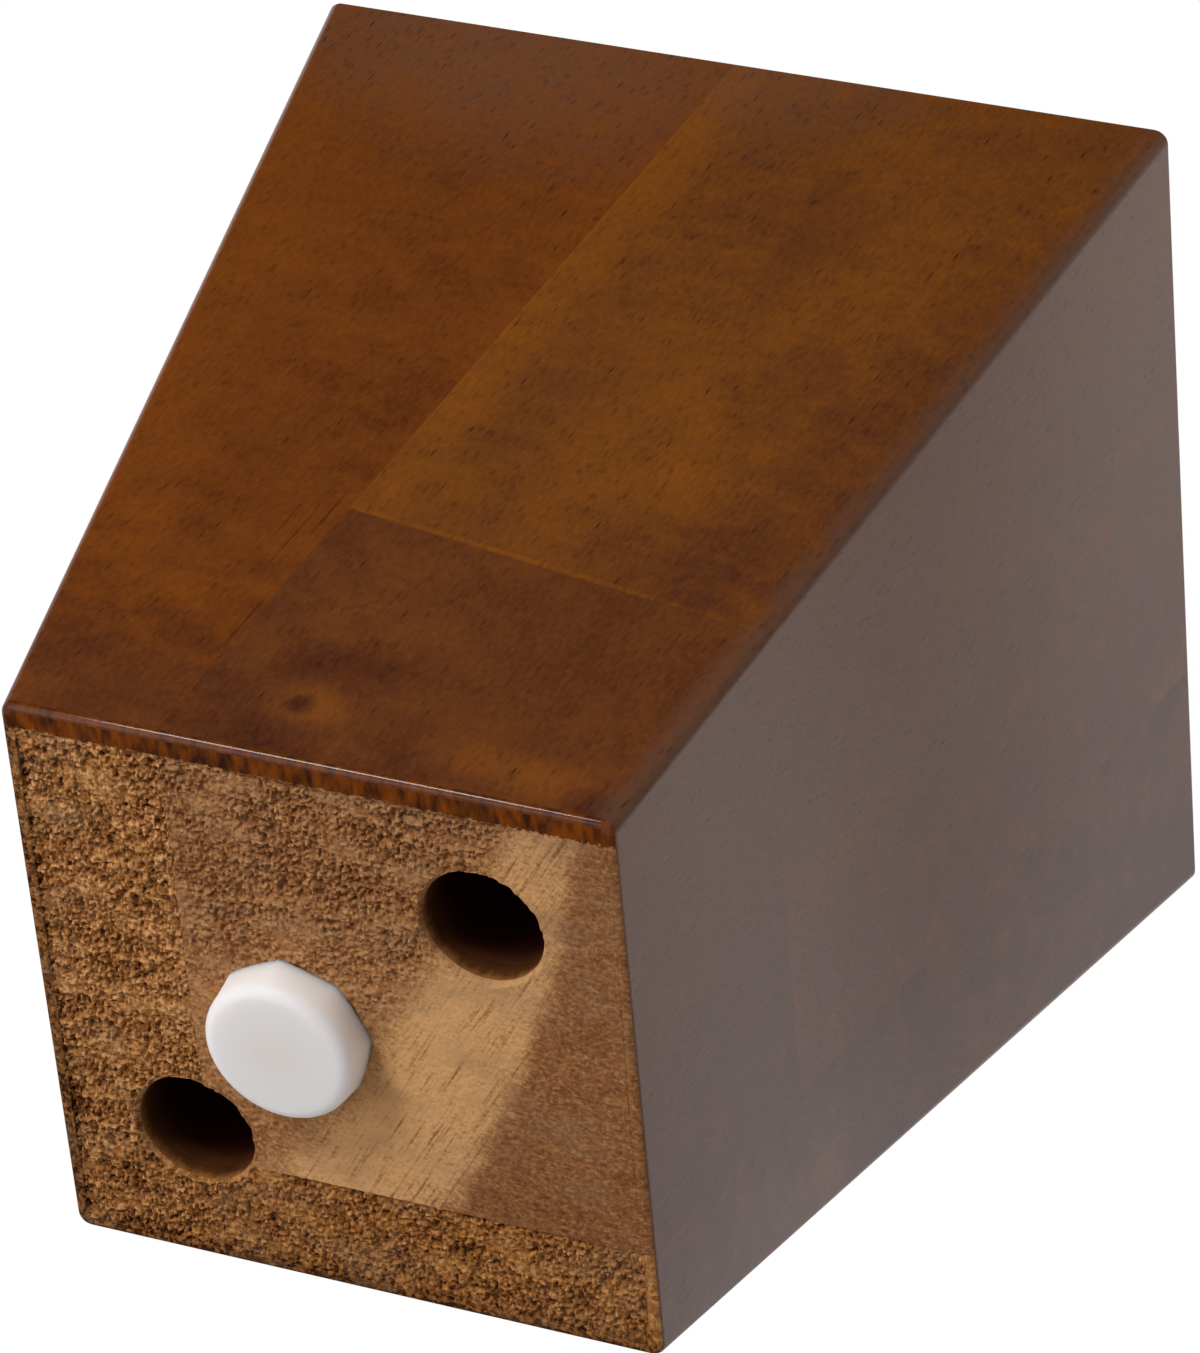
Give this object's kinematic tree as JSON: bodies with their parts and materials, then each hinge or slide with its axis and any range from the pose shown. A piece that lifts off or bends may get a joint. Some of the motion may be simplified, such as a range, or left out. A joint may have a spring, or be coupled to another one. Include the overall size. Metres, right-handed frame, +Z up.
{
  "type": "tapered furniture leg",
  "caption": "Square tapered wooden furniture leg of glued staves, with counterbored screw holes through it and a white nylon nail-on glide on its small end.",
  "frame": {"origin": "centre of the mounting face, which is the large end", "axes": "+Z up out of the mounting face, the small end and its glide below; +X square to the side that the staves run parallel to; -Y the side with the butt joint"},
  "size_m": [0.075, 0.075, 0.0889],
  "materials": {
    "left_stave": "stained dark brown, lacquered, raw sawn end",
    "foot_stave": "stained dark brown, lacquered, raw sawn end",
    "head_stave": "stained golden brown, lacquered",
    "lower_strip": "stained dark brown, lacquered, raw sawn end",
    "glide": "white nylon, smooth",
    "glide_nail": "plain bright steel"
  },
  "bodies": {
    "root": {"left_stave": "left_stave", "foot_stave": "foot_stave", "head_stave": "head_stave", "lower_strip": "lower_strip", "glide": "glide", "glide_nail": "glide_nail"}
  },
  "joints": []
}
